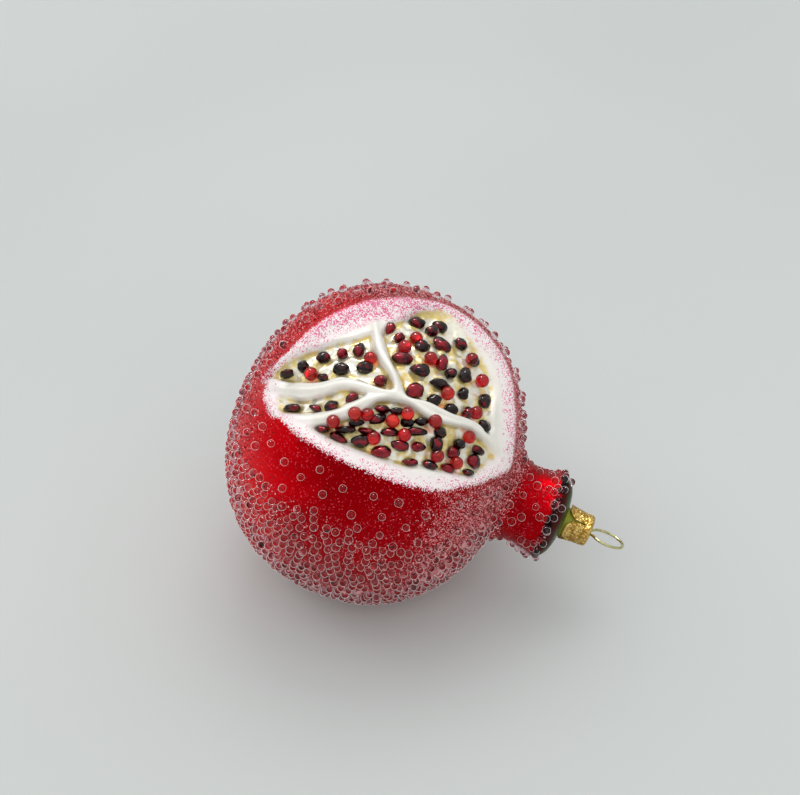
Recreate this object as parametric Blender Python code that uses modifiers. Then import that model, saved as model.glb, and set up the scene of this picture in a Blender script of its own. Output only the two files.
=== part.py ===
"""An open pomegranate: a mould-blown glass tree ornament that lies on its side on a table.

Its pieces are the glass bulb, the crinkled metal cap over the bulb's neck, and the spring wire that
hangs it. The bulb is one blown piece: the ball with its sunken window, the flared crown of the fruit
and the narrow open neck, with small glass beads glued over its outside and among its moulded seeds.

Units are metres, +Z is up. The origin is on the table, under the middle of the ball.
The fruit is modelled in a frame of its own, which an empty lays down on its side: Z runs along the
fruit's axis from its base to its crown, Y points straight out of the window, and X runs across it.
A plan of the window, seen square on, is given in millimetres as (along the axis, across it), on a
sphere of the ball's radius.
"""

import math
import random

import bmesh
import bpy
import numpy as np
from mathutils import Matrix, Vector

MM = 0.001

# The ball, a sphere a little flattened along the fruit's axis
BALL_RADIUS = 43.5 * MM
BALL_HALF_LENGTH = 38.5 * MM
BALL_ROUNDNESS = 2.2
GLASS_WALL = 1.1 * MM
BALL_SEGMENTS, BALL_RINGS = 34, 17

# How it lies: the crown droops, the window is rolled towards the front, and a small flat spot carries it
AXIS_DROOP = math.radians(18)
WINDOW_ROLL = math.radians(25)
FLAT_SPOT_DEPTH = 0.35 * MM

# The outside of the crown and the neck, as (along the axis, radius), from the ball to the neck's mouth
CROWN_PROFILE = (
    (36.6, 15.5),
    (39.2, 12.7),
    (43.5, 11.1),
    (48.0, 11.5),
    (51.4, 12.3),
    (53.1, 12.0),
    (54.7, 10.2),
    (55.7, 7.6),
    (56.2, 5.2),
    (57.2, 3.8),
    (62.8, 3.7),
)
CROWN_LOBES = 6
CROWN_LOBE_HEIGHT = 0.3 * MM
BORE_RADIUS = 2.7 * MM
BORE_START = 55.0 * MM

# The window's plan: the edge of the red skin, then the cells that are sunk between the white ridges
SKIN_EDGE = (
    (-33.5, -9.1), (-29.0, 6.6), (-18.3, 19.5), (-3.4, 29.3), (6.0, 31.5), (13.0, 30.5),
    (21.0, 27.0), (27.3, 21.5), (32.6, 12.5), (36.5, 5.0), (38.1, -0.5), (31.4, -9.8),
    (18.3, -20.6), (0.8, -24.0), (-16.0, -21.8), (-29.4, -15.2),
)
UPPER_LEFT_CELL = (
    (-35.0, -6.0), (-33.0, -3.5), (-30.0, 0.5), (-26.5, 4.0), (-22.0, 7.0), (-17.0, 9.5),
    (-13.5, 12.5), (-12.0, 10.0), (-10.5, 7.5), (-8.0, 4.5), (-5.5, 2.5), (-3.0, 0.5),
    (-1.5, -2.0), (-4.0, -3.2), (-8.5, -3.2), (-15.5, -3.2), (-19.5, -5.5), (-23.0, -6.5),
    (-30.0, -6.8),
)
LEFT_CELL = (
    (-30.0, -11.5), (-24.5, -12.0), (-20.5, -11.0), (-17.0, -9.0), (-14.0, -7.0), (-8.0, -6.2),
    (-9.0, -8.2), (-11.5, -10.2), (-13.5, -12.5), (-19.5, -15.0), (-26.0, -16.2), (-28.5, -14.5),
)
UPPER_RIGHT_CELL = (
    (-10.0, 14.0), (-8.5, 11.0), (-5.5, 6.5), (-1.0, 2.0), (2.0, -1.5), (4.0, -2.4),
    (9.5, -1.1), (15.5, -0.7), (19.5, 0.5), (23.5, 1.7), (28.5, 1.8), (29.5, 4.5),
    (28.0, 7.0), (27.5, 10.0), (26.5, 14.5), (24.5, 18.5), (21.5, 21.5), (18.0, 24.5),
    (12.5, 27.8), (5.5, 30.5), (1.5, 30.0), (-3.0, 27.0), (-8.2, 20.2), (-9.8, 17.5),
)
LOWER_CELL = (
    (-17.5, -18.6), (-14.5, -17.5), (-11.5, -15.4), (-7.0, -12.0), (-4.5, -8.0), (-3.0, -6.6),
    (0.5, -5.1), (5.5, -4.6), (12.0, -5.4), (18.0, -3.4), (22.0, -1.6), (28.0, -0.9),
    (34.3, -1.0), (32.5, -4.0), (30.8, -7.5), (28.5, -11.0), (25.0, -13.6), (14.0, -17.6),
    (10.0, -19.5), (1.5, -20.7), (-9.0, -20.6), (-14.5, -19.6),
)
CELLS = (UPPER_LEFT_CELL, LEFT_CELL, UPPER_RIGHT_CELL, LOWER_CELL)
PITH_DEPTH = 2.6 * MM
CELL_DEPTH = 2.0 * MM
RIM_LEAN = 0.9
RIDGE_LEAN = 0.15

# The moulded seeds, cell by cell, as (along, across, turn of the long side in degrees, length, width)
SEEDS = (
    (-31.0, -4.5, 30, 4.0, 2.2), (-28.0, -1.5, 80, 3.4, 3.0), (-23.5, 2.0, 20, 3.8, 3.5),
    (-18.5, 4.0, 60, 3.2, 2.8), (-14.5, 6.5, 80, 4.0, 3.4), (-17.0, -1.0, 20, 4.2, 3.5),
    (-11.0, 1.5, 25, 4.5, 3.8), (-21.0, -4.5, 10, 3.2, 2.4), (-5.5, -1.0, 20, 3.6, 3.2),
    (-25.5, -14.5, 23, 5.0, 2.6), (-19.5, -13.5, 5, 3.8, 2.2), (-15.5, -12.0, 40, 3.8, 2.8),
    (-11.0, -8.5, 50, 3.6, 2.8),
    (-9.0, 17.5, 85, 4.0, 3.4), (-2.5, 24.0, 25, 4.5, 4.0), (4.0, 26.5, 0, 4.3, 3.5),
    (2.5, 23.0, 20, 3.8, 3.6), (-5.5, 15.0, 60, 3.5, 3.0), (1.5, 15.5, 30, 4.7, 4.4),
    (6.5, 19.5, -5, 5.4, 4.4), (11.5, 23.5, 0, 4.0, 3.5), (-2.5, 8.5, 15, 5.6, 3.8),
    (8.5, 13.0, 95, 5.2, 3.9), (3.5, 7.0, 15, 5.4, 4.3), (12.0, 11.0, 20, 3.2, 3.2),
    (16.0, 13.5, 105, 5.2, 4.3), (10.5, 6.0, 10, 5.8, 2.9), (4.5, 0.5, 30, 4.8, 4.4),
    (17.5, 7.5, 90, 3.9, 3.6), (10.5, 0.5, 20, 3.9, 3.6), (16.0, 0.5, 30, 3.9, 3.8),
    (24.5, 10.5, 80, 4.4, 4.1), (20.5, 2.5, 90, 3.7, 2.9), (27.5, 3.5, 10, 4.4, 3.7),
    (17.5, 20.5, 30, 2.8, 2.4),
    (-15.0, -18.5, 20, 4.0, 2.0), (-10.0, -19.5, -5, 5.0, 3.0), (-9.0, -17.0, 20, 5.4, 2.4),
    (-7.0, -14.5, 30, 4.0, 2.4), (-3.5, -15.5, 15, 4.8, 2.0), (2.5, -13.5, 20, 4.7, 2.6),
    (-2.0, -11.5, 40, 4.5, 2.8), (-2.0, -8.5, 15, 4.0, 2.4), (2.0, -7.5, 20, 3.6, 2.4),
    (6.0, -9.0, 20, 3.8, 2.6), (9.5, -7.0, 20, 3.6, 2.6), (9.5, -10.0, 20, 5.4, 2.8),
    (-4.0, -18.5, 25, 4.9, 4.0), (2.5, -19.0, 20, 5.2, 3.6), (6.5, -15.5, 10, 4.7, 3.6),
    (11.5, -13.5, 15, 4.0, 3.2), (11.0, -18.0, 15, 4.2, 2.4), (16.0, -10.5, 100, 4.8, 3.9),
    (15.5, -7.0, 0, 3.6, 3.2), (22.0, -6.5, -10, 3.4, 3.2), (21.5, -9.5, 20, 3.8, 3.8),
    (28.5, -4.0, 0, 4.2, 2.9), (28.5, -7.5, -20, 4.2, 4.0), (16.5, -16.0, 0, 4.2, 2.9),
    (21.5, -14.0, 0, 4.0, 3.1), (27.0, -11.5, 20, 3.0, 2.0),
)
SEED_HALF_HEIGHT = 1.7 * MM
SEED_LIFT = 0.7 * MM

# Red glass beads glued among the seeds, as (along, across)
RED_BEADS = (
    (-24.5, -4.0), (-10.5, 4.5), (-3.0, 12.0), (-1.0, 17.0), (5.0, 12.0), (16.0, 20.0),
    (21.0, 15.0), (13.0, 4.0), (23.0, 4.5),
    (-12.5, -16.0), (-8.0, -12.5), (-5.0, -11.5), (2.0, -10.5), (5.0, -7.0), (12.5, -5.5),
    (6.5, -12.5), (-1.0, -16.5), (24.0, -3.0), (17.0, -13.0), (23.0, -11.5),
)
RED_BEAD_RADIUS = 1.85 * MM
RED_BEAD_LIFT = 1.4 * MM

# Clear glass beads over the skin, thin near the window and thick on the far side and the base
CLEAR_BEAD_RADIUS = 1.4 * MM
CLEAR_BEAD_LIFT = 0.3
CLEAR_BEAD_SITES = 142
BARE_BAND = math.radians(4)
THIN_BAND = math.radians(25)
THIN_SHARE = 0.22
CROWN_CONE = math.radians(23)
CROWN_BEAD_RINGS = ((42.4, 5), (46.8, 6), (51.4, 8))

# The metal cap, a drawn cup whose skirt is slit into petals
CAP_BASE = 56.9 * MM
CAP_TOP = 64.3 * MM
CAP_RADIUS = 4.5 * MM
CAP_FLARE = 0.55 * MM
CAP_METAL = 0.3 * MM
CAP_CORNER = 0.7 * MM
PETALS = 4
PETAL_TURN = math.radians(8)
SLIT_WIDTH = 0.45 * MM
SLIT_LENGTH = 4.9 * MM
NOTCH_HALF_WIDTH = 1.5 * MM
WIRE_HOLE_RADIUS = 0.75 * MM

# The hanger, one length of spring wire: two legs inside the neck and a loop outside the cap
WIRE_RADIUS = 0.4 * MM
LOOP_ROLL = math.radians(20)
LEG_END = 52.5 * MM
LEG_SPREAD = 1.9 * MM
LEG_STEPS = 5
HOLE_SPREAD = 1.6 * MM
LOOP_START = 64.9 * MM
LOOP_CENTRE = 69.6 * MM
LOOP_HALF_WIDTH = 4.3 * MM
LOOP_HALF_LENGTH = 4.7 * MM
LOOP_STEPS = 22

SKIN_RED = (0.50, 0.008, 0.014, 1.0)
CAP_GOLD = (0.83, 0.56, 0.16, 1.0)
WIRE_GOLD = (0.62, 0.58, 0.36, 1.0)
EVEN = random.Random(7)

for old in list(bpy.data.objects):
    bpy.data.objects.remove(old)


def new_collection(name):
    made = bpy.data.collections.new(name)
    bpy.context.scene.collection.children.link(made)
    return made


ornament = new_collection("open_pomegranate")
cutters = new_collection("cutters")
glued_on = new_collection("glued_on")


def support_height(across, along, tilt, roundness):
    """How far the flattened ball reaches below its middle when its axis droops by tilt."""
    dual = roundness / (roundness - 1)
    return ((along * math.sin(tilt)) ** dual + (across * math.cos(tilt)) ** dual) ** (1 / dual)


def fruit_frame():
    """The empty that carries the fruit's own frame, laid on its side over the origin."""
    axis = Vector((math.cos(AXIS_DROOP), 0, -math.sin(AXIS_DROOP)))
    upright = Vector((math.sin(AXIS_DROOP), 0, math.cos(AXIS_DROOP)))
    facing = upright * math.cos(WINDOW_ROLL) - Vector((0, 1, 0)) * math.sin(WINDOW_ROLL)
    across = facing.cross(axis)
    lowest = support_height(BALL_RADIUS, BALL_HALF_LENGTH, AXIS_DROOP, BALL_ROUNDNESS)
    empty = bpy.data.objects.new("fruit_frame", None)
    turn = Matrix((across, facing, axis)).transposed().to_4x4()
    empty.matrix_world = Matrix.Translation((0, 0, lowest - FLAT_SPOT_DEPTH)) @ turn
    ornament.objects.link(empty)
    return empty


fruit = fruit_frame()


def material(name, colour, roughness, metallic=0.0, transmission=0.0):
    made = bpy.data.materials.new(name)
    made.use_nodes = True
    shader = made.node_tree.nodes["Principled BSDF"]
    shader.inputs["Base Color"].default_value = colour
    shader.inputs["Roughness"].default_value = roughness
    shader.inputs["Metallic"].default_value = metallic
    shader.inputs["Transmission Weight"].default_value = transmission
    made.diffuse_color = colour
    return made


def add_object(name, data, collection, matrix=None):
    made = bpy.data.objects.new(name, data)
    collection.objects.link(made)
    made.parent = fruit
    if matrix is not None:
        made.matrix_local = matrix
    return made


def hide_guide(obj):
    obj.hide_render = True
    obj.display_type = "WIRE"
    return obj


def bake(obj):
    """Replaces an object's mesh by what its modifiers make of it."""
    bpy.context.view_layer.update()
    evaluated = obj.evaluated_get(bpy.context.evaluated_depsgraph_get())
    mesh = bpy.data.meshes.new_from_object(evaluated)
    obj.modifiers.clear()
    obj.data = mesh
    return obj


def boolean(obj, operation, other=None, collection=None, solver="EXACT"):
    cut = obj.modifiers.new(operation.lower(), "BOOLEAN")
    cut.operation = operation
    cut.solver = solver
    if collection is None:
        cut.object = other
    else:
        cut.operand_type = "COLLECTION"
        cut.collection = collection
    return cut


def smooth_curve(points, per_span, closed=False):
    """Points on a Catmull-Rom curve through the given ones."""
    given = np.array(points, float)
    if closed:
        knots = np.vstack((given[-1], given, given[:2]))
    else:
        knots = np.vstack((2 * given[0] - given[1], given, 2 * given[-1] - given[-2]))
    steps = np.arange(per_span)[:, None] / per_span
    spans = [
        0.5 * (2 * b + (c - a) * steps + (2 * a - 5 * b + 4 * c - d) * steps**2
               + (3 * b - a - 3 * c + d) * steps**3)
        for a, b, c, d in zip(knots, knots[1:], knots[2:], knots[3:])
    ]
    curve = np.vstack(spans)
    return curve if closed else np.vstack((curve, given[-1]))


def plan_outline(points, per_span):
    return smooth_curve(points, per_span, closed=True) * MM


def inside_distance(places, outline):
    """How far each (along, across) place lies inside a closed outline, or less than 0 outside it."""
    start, end = outline, np.roll(outline, -1, axis=0)
    edge = end - start
    offset = places[:, None, :] - start
    share = np.clip((offset * edge).sum(2) / (edge * edge).sum(1), 0, 1)
    distance = np.linalg.norm(offset - share[:, :, None] * edge, axis=2).min(1)
    crosses = (start[:, 1] > places[:, None, 1]) != (end[:, 1] > places[:, None, 1])
    rise = np.where(edge[:, 1] == 0, 1, edge[:, 1])
    at = start[:, 0] + (places[:, None, 1] - start[:, 1]) / rise * edge[:, 0]
    inside = (crosses & (places[:, None, 0] < at)).sum(1) % 2 == 1
    return np.where(inside, distance, -distance)


def inset(outline, distance):
    """A closed outline moved inwards by a distance, or outwards where it is less than 0."""
    along = np.roll(outline, -1, axis=0) - np.roll(outline, 1, axis=0)
    inwards = np.column_stack((along[:, 1], -along[:, 0])) / np.linalg.norm(along, axis=1)[:, None]
    return outline + inwards * distance


def ease(value):
    share = np.clip(value, 0, 1)
    return share * share * (3 - 2 * share)


skin_edge = plan_outline(SKIN_EDGE, 3)


def ball_radius(direction, shrink=0.0):
    """The ball's radius towards a unit direction, or that of its offset inside."""
    along = abs(direction.z) / (BALL_HALF_LENGTH - shrink)
    across = math.hypot(direction.x, direction.y) / (BALL_RADIUS - shrink)
    return (along**BALL_ROUNDNESS + across**BALL_ROUNDNESS) ** (-1 / BALL_ROUNDNESS)


def plan_direction(along, across):
    out = math.sqrt(BALL_RADIUS**2 - along**2 - across**2)
    return Vector((across, out, along)) / BALL_RADIUS


def ball_profile(rings, end, shrink=0.0):
    """(radius, along) points down the ball's side, from where the crown leaves it to its base."""
    first = math.atan2(end[1], end[0])
    angles = [first + (math.pi - first) * ring / rings for ring in range(1, rings + 1)]
    points = []
    for angle in angles:
        direction = Vector((math.sin(angle), 0, math.cos(angle)))
        points.append(tuple(direction.xz * ball_radius(direction, shrink)))
    points[-1] = (0.0, points[-1][1])
    return points


def turned(name, profile, segments, collection):
    """A solid turned from a (radius, along) profile that runs from the crown's end to the base."""
    mesh = bpy.data.meshes.new(name)
    vertices = [(radius, 0, along) for radius, along in profile]
    mesh.from_pydata(vertices, [(i, i + 1) for i in range(len(vertices) - 1)], [])
    obj = add_object(name, mesh, collection)
    screw = obj.modifiers.new("turn", "SCREW")
    screw.steps = screw.render_steps = segments
    screw.use_merge_vertices = True
    screw.merge_threshold = 0.00001
    return bake(obj)


def lobe_crown(mesh):
    """The blown crown is not quite round: a few low lobes where the fruit's sepals are."""
    for vertex in mesh.vertices:
        along = vertex.co.z
        share = float(ease((along - 42 * MM) / (9 * MM)) * ease((57 * MM - along) / (3 * MM)))
        radius = math.hypot(vertex.co.x, vertex.co.y)
        if share > 0 and radius > 0:
            swing = math.cos(CROWN_LOBES * math.atan2(vertex.co.y, vertex.co.x))
            grown = 1 + share * CROWN_LOBE_HEIGHT * swing / radius
            vertex.co.x *= grown
            vertex.co.y *= grown


def bulb_outside():
    crown = [(r * MM, z * MM) for z, r in reversed(CROWN_PROFILE)]
    profile = [(0.0, crown[0][1])] + crown + ball_profile(BALL_RINGS, CROWN_PROFILE[0])
    bulb = turned("glass_bulb", profile, BALL_SEGMENTS, ornament)
    lobe_crown(bulb.data)
    return bulb


def ball_within(name, depth, segments=BALL_SEGMENTS):
    """A whole ball whose surface lies at a depth below the outside of the bulb."""
    top = [(0.0, BALL_HALF_LENGTH - depth)]
    return hide_guide(turned(name, top + ball_profile(BALL_RINGS, (1, 0), depth), segments, cutters))


def pressing(name, outline, depth, lean):
    """What a window's or a cell's outline takes out of the ball, to a little below a depth.

    Its walls lean inwards. Its lower end bridges the outline, so that it lies deeper than the depth.
    """
    work = bmesh.new()
    rings = []
    for sunk in (depth + 1 * MM, -1 * MM):
        normals = [plan_direction(*place) for place in inset(outline, lean * sunk)]
        rings.append([work.verts.new(normal * (ball_radius(normal) - sunk)) for normal in normals])
    rings.append([work.verts.new((v.co.x, 1.6 * BALL_RADIUS, v.co.z)) for v in rings[-1]])
    for lower, upper in zip(rings, rings[1:]):
        for step in range(len(outline)):
            after = (step + 1) % len(outline)
            work.faces.new((lower[step], lower[after], upper[after], upper[step]))
    work.faces.new(rings[0])
    work.faces.new(rings[-1])
    bmesh.ops.triangulate(work, faces=work.faces[:])
    bmesh.ops.recalc_face_normals(work, faces=work.faces[:])
    mesh = bpy.data.meshes.new(name)
    work.to_mesh(mesh)
    work.free()
    return hide_guide(add_object(name, mesh, cutters))


def press_window(bulb):
    """Sinks the window to the pith, and its cells below that between the ridges."""
    boolean(bulb, "DIFFERENCE", pressing("window", skin_edge, PITH_DEPTH, RIM_LEAN))
    pith = ball_within("pith", PITH_DEPTH)
    for index, cell in enumerate(CELLS):
        outline = plan_outline(cell, 2)
        boolean(pith, "DIFFERENCE", pressing(f"cell_{index}", outline, PITH_DEPTH + CELL_DEPTH, RIDGE_LEAN))
    boolean(bulb, "UNION", pith)
    boolean(bulb, "UNION", ball_within("cell_floor", PITH_DEPTH + CELL_DEPTH, 30))


def bulb_cavity():
    """The hollow inside, open at the neck's mouth and set back behind the window."""
    wall = GLASS_WALL / MM
    crown = [(r - wall, z) for z, r in CROWN_PROFILE[:5]]
    dome = [(10.6, 52.2), (8.2, 53.8), (BORE_RADIUS / MM, BORE_START / MM)]
    mouth = [(BORE_RADIUS / MM, CROWN_PROFILE[-1][0] + 2), (0.0, CROWN_PROFILE[-1][0] + 2)]
    outer = [(r * MM, z * MM) for r, z in reversed(crown + dome + mouth)]
    profile = outer + ball_profile(12, CROWN_PROFILE[0], GLASS_WALL)
    cavity = turned("bulb_cavity", profile, 20, cutters)
    edge = inset(plan_outline(SKIN_EDGE, 2), -2 * GLASS_WALL)
    boolean(cavity, "DIFFERENCE", pressing("cavity_step", edge, PITH_DEPTH, RIM_LEAN))
    boolean(cavity, "UNION", ball_within("cavity_floor", PITH_DEPTH + CELL_DEPTH + GLASS_WALL, 20))
    return hide_guide(cavity)


def small_ball(name, sides, rings):
    mesh = bpy.data.meshes.new(name)
    work = bmesh.new()
    bmesh.ops.create_uvsphere(work, u_segments=sides, v_segments=rings, radius=1)
    work.to_mesh(mesh)
    work.free()
    return mesh


def surface_frame(normal, turn):
    """A rotation whose Z is the normal and whose X is turned by an angle in the surface."""
    along = Vector((0, 0, 1))
    side = along.cross(normal).normalized()
    up = normal.cross(side)
    x_axis = -up * math.cos(turn) + side * math.sin(turn)
    return Matrix((x_axis, normal.cross(x_axis), normal)).transposed().to_4x4()


def glue(mesh, place, normal, turn, sizes):
    matrix = Matrix.Translation(place) @ surface_frame(normal, turn) @ Matrix.Diagonal((*sizes, 1))
    return hide_guide(add_object("bead", mesh, glued_on, matrix))


def in_cell(along, across, lift):
    """The direction of a plan place, and the point that far above the floor of its cell."""
    normal = plan_direction(along * MM, across * MM)
    return normal, normal * (ball_radius(normal) - PITH_DEPTH - CELL_DEPTH + lift)


def glue_seeds():
    mesh = small_ball("seed", 6, 3)
    for along, across, turn, length, width in SEEDS:
        normal, place = in_cell(along, across, SEED_LIFT)
        sizes = (length / 2 * MM, width / 2 * MM, SEED_HALF_HEIGHT)
        glue(mesh, place, normal, math.radians(turn), sizes)


def glue_red_beads():
    mesh = small_ball("red_bead", 6, 3)
    for along, across in RED_BEADS:
        normal, place = in_cell(along, across, RED_BEAD_LIFT)
        glue(mesh, place, normal, EVEN.uniform(0, math.pi), [RED_BEAD_RADIUS] * 3)


def window_edge_angle(direction):
    """The angle from a direction to the nearest point of the skin's edge, less than 0 inside it."""
    edges = [plan_direction(*place) for place in skin_edge]
    angle = min(direction.angle(edge) for edge in edges)
    if direction.y > 0:
        place = np.array([(direction.z, direction.x)]) * BALL_RADIUS
        if inside_distance(place, skin_edge)[0] > 0:
            return -angle
    return angle


def glue_clear_beads():
    mesh = small_ball("clear_bead", 5, 3)
    golden_angle = math.pi * (3 - math.sqrt(5))
    lift = CLEAR_BEAD_RADIUS * CLEAR_BEAD_LIFT
    for site in range(CLEAR_BEAD_SITES):
        height = 1 - 2 * (site + 0.5) / CLEAR_BEAD_SITES
        turn = golden_angle * site
        ring = math.sqrt(1 - height * height)
        normal = Vector((ring * math.cos(turn), ring * math.sin(turn), height))
        from_edge = window_edge_angle(normal)
        chance = THIN_SHARE if from_edge < THIN_BAND else 1
        drawn = EVEN.random()
        if from_edge > BARE_BAND and drawn < chance and normal.angle(Vector((0, 0, 1))) > CROWN_CONE:
            place = normal * (ball_radius(normal) + lift)
            glue(mesh, place, normal, drawn * math.pi, [CLEAR_BEAD_RADIUS] * 3)
    profile = smooth_curve(CROWN_PROFILE, 8) * MM
    for along, count in CROWN_BEAD_RINGS:
        radius = float(np.interp(along * MM, profile[:, 0], profile[:, 1]))
        start = EVEN.uniform(0, math.tau)
        for step in range(count):
            turn = start + math.tau * (step + EVEN.uniform(-0.2, 0.2)) / count
            normal = Vector((math.cos(turn), math.sin(turn), 0))
            place = normal * (radius + lift) + Vector((0, 0, along * MM))
            glue(mesh, place, normal, turn, [CLEAR_BEAD_RADIUS] * 3)


def table_cutter():
    """What would reach below the table, which the flat spot stands on."""
    side = 4 * BALL_RADIUS
    mesh = bpy.data.meshes.new("below_table")
    work = bmesh.new()
    bmesh.ops.create_cube(work, size=side)
    work.to_mesh(mesh)
    work.free()
    box = add_object("below_table", mesh, cutters)
    bpy.context.view_layer.update()
    box.matrix_world = Matrix.Translation((0, 0, -side / 2))
    return hide_guide(box)


def make_bulb():
    bulb = bulb_outside()
    press_window(bulb)
    glue_seeds()
    glue_red_beads()
    glue_clear_beads()
    boolean(bulb, "UNION", collection=glued_on)
    boolean(bulb, "DIFFERENCE", bulb_cavity())
    boolean(bulb, "DIFFERENCE", table_cutter())
    bake(bulb)
    for bead in list(glued_on.objects):
        bpy.data.objects.remove(bead)
    bulb.data.materials.clear()
    bulb.data.materials.append(material("red_glass", SKIN_RED, 0.35, transmission=0.2))
    bulb.data.polygons.foreach_set("material_index", [0] * len(bulb.data.polygons))
    return bulb


def slit_cutter(index):
    """One slit with the notch that trims its petals' corners."""
    turn = PETAL_TURN + math.tau * index / PETALS
    reach = CAP_RADIUS + 2 * MM
    bottom = CAP_BASE - 1 * MM
    outline = [
        (-NOTCH_HALF_WIDTH - 1 * MM, bottom),
        (NOTCH_HALF_WIDTH + 1 * MM, bottom),
        (SLIT_WIDTH / 2, CAP_BASE + NOTCH_HALF_WIDTH),
        (SLIT_WIDTH / 2, CAP_BASE + SLIT_LENGTH),
        (-SLIT_WIDTH / 2, CAP_BASE + SLIT_LENGTH),
        (-SLIT_WIDTH / 2, CAP_BASE + NOTCH_HALF_WIDTH),
    ]
    work = bmesh.new()
    face = work.faces.new([work.verts.new((reach / 4, y, z)) for y, z in outline])
    grown = bmesh.ops.extrude_face_region(work, geom=[face])
    moved = [part for part in grown["geom"] if isinstance(part, bmesh.types.BMVert)]
    bmesh.ops.translate(work, verts=moved, vec=(reach, 0, 0))
    bmesh.ops.recalc_face_normals(work, faces=work.faces[:])
    mesh = bpy.data.meshes.new("slit")
    work.to_mesh(mesh)
    work.free()
    return hide_guide(add_object("slit", mesh, cutters, Matrix.Rotation(turn, 4, "Z")))


def loop_side():
    """The direction across the hanger's loop: level, then rolled a little about the fruit's axis."""
    turn = WINDOW_ROLL + LOOP_ROLL
    return Vector((math.cos(turn), -math.sin(turn), 0))


def wire_hole(sign):
    mesh = bpy.data.meshes.new("wire_hole")
    work = bmesh.new()
    bmesh.ops.create_cone(
        work, cap_ends=True, segments=12, radius1=WIRE_HOLE_RADIUS, radius2=WIRE_HOLE_RADIUS, depth=3 * MM
    )
    work.to_mesh(mesh)
    work.free()
    place = loop_side() * HOLE_SPREAD * sign + Vector((0, 0, CAP_TOP))
    return hide_guide(add_object("wire_hole", mesh, cutters, Matrix.Translation(place)))


def make_cap():
    """A thin cup turned about the fruit's axis, slit into petals and pierced for the wire."""
    corner = CAP_CORNER
    outside = [(0.0, CAP_TOP), (CAP_RADIUS - corner, CAP_TOP)]
    for step in (1, 2, 3):
        turn = math.radians(30 * step)
        outside.append(
            (CAP_RADIUS - corner + corner * math.sin(turn), CAP_TOP - corner + corner * math.cos(turn))
        )
    outside.append((CAP_RADIUS + 0.1 * MM, CAP_BASE + 2.5 * MM))
    outside.append((CAP_RADIUS + CAP_FLARE, CAP_BASE))
    inside = [(max(radius - CAP_METAL, 0.0), along - CAP_METAL) for radius, along in outside[:-2]]
    inside += [(radius - CAP_METAL, along) for radius, along in outside[-2:]]
    profile = outside + inside[::-1]
    cap = turned("metal_cap", profile, 24, ornament)
    for index in range(PETALS):
        boolean(cap, "DIFFERENCE", slit_cutter(index))
    for sign in (-1, 1):
        boolean(cap, "DIFFERENCE", wire_hole(sign))
    cap.data.materials.clear()
    cap.data.materials.append(material("gold_cap_metal", CAP_GOLD, 0.3, metallic=1.0))
    return cap


def hanger_route():
    """(across, along) points of the wire: up one leg, round the loop and down the other leg."""
    leg = [
        (LEG_SPREAD + (HOLE_SPREAD - LEG_SPREAD) * ease(step / LEG_STEPS),
         LEG_END + (LOOP_START - LEG_END) * step / LEG_STEPS)
        for step in range(LEG_STEPS)
    ]
    first = math.asin((LOOP_START - LOOP_CENTRE) / (1.1 * LOOP_HALF_LENGTH))
    loop = []
    for step in range(LOOP_STEPS + 1):
        turn = first + (math.pi - 2 * first) * step / LOOP_STEPS
        loop.append((LOOP_HALF_WIDTH * math.cos(turn), LOOP_CENTRE + LOOP_HALF_LENGTH * math.sin(turn)))
    other_leg = [(-across, along) for across, along in reversed(leg)]
    return leg + loop + other_leg


def make_hanger():
    curve = bpy.data.curves.new("wire_hanger", "CURVE")
    curve.dimensions = "3D"
    curve.bevel_depth = WIRE_RADIUS
    curve.bevel_resolution = 2
    curve.use_fill_caps = True
    route = hanger_route()
    spline = curve.splines.new("POLY")
    spline.points.add(len(route) - 1)
    side = loop_side()
    for point, (across, along) in zip(spline.points, route):
        point.co = (*(side * across + Vector((0, 0, along))), 1)
    curve.materials.append(material("hanger_wire_metal", WIRE_GOLD, 0.2, metallic=1.0))
    return add_object("wire_hanger", curve, ornament)


make_bulb()
make_cap()
make_hanger()
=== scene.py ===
import math
import random

import bmesh
import bpy
import numpy as np
from mathutils import Matrix, Vector, noise


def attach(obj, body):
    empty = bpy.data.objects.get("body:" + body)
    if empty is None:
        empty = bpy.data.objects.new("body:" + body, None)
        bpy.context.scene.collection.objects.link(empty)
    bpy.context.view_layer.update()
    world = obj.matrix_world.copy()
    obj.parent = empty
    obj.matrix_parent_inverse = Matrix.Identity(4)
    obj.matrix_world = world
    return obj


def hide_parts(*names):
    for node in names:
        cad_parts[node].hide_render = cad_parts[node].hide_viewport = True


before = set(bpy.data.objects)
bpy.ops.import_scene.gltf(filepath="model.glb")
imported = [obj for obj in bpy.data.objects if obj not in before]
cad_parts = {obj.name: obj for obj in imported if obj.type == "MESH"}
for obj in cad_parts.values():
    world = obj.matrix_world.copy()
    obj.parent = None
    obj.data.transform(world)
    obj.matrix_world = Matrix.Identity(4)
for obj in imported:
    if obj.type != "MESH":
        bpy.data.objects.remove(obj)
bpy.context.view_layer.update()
MM = 0.001

# The glass bulb is blown into a mould in one piece: a ball with a sunken window on one side, then
# a flared crown with a domed end, and the narrow neck that the blowpipe left. It lies on its side,
# its crown drooping and its window rolled a little towards the front.

BALL_RADIUS = 43.5 * MM
BALL_HALF_LENGTH = 38.5 * MM
BALL_ROUNDNESS = 2.2
BALL_MIDDLE = Vector((0, 0, 43.27 * MM))
AXIS_DROOP = math.radians(18)
WINDOW_ROLL = math.radians(25)
CROWN_PROFILE = (
    (36.6, 15.5), (39.2, 12.7), (43.5, 11.1), (48.0, 11.5), (51.4, 12.3), (53.1, 12.0),
    (54.7, 10.2), (55.7, 7.6), (56.2, 5.2), (57.2, 3.8), (62.4, 3.7), (62.8, 3.3), (62.7, 2.8),
    (50.0, 2.7), (50.0, 0.0),
)
RINGS, SEGMENTS = 84, 180
WELD_GAP = 0.01 * MM

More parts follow.
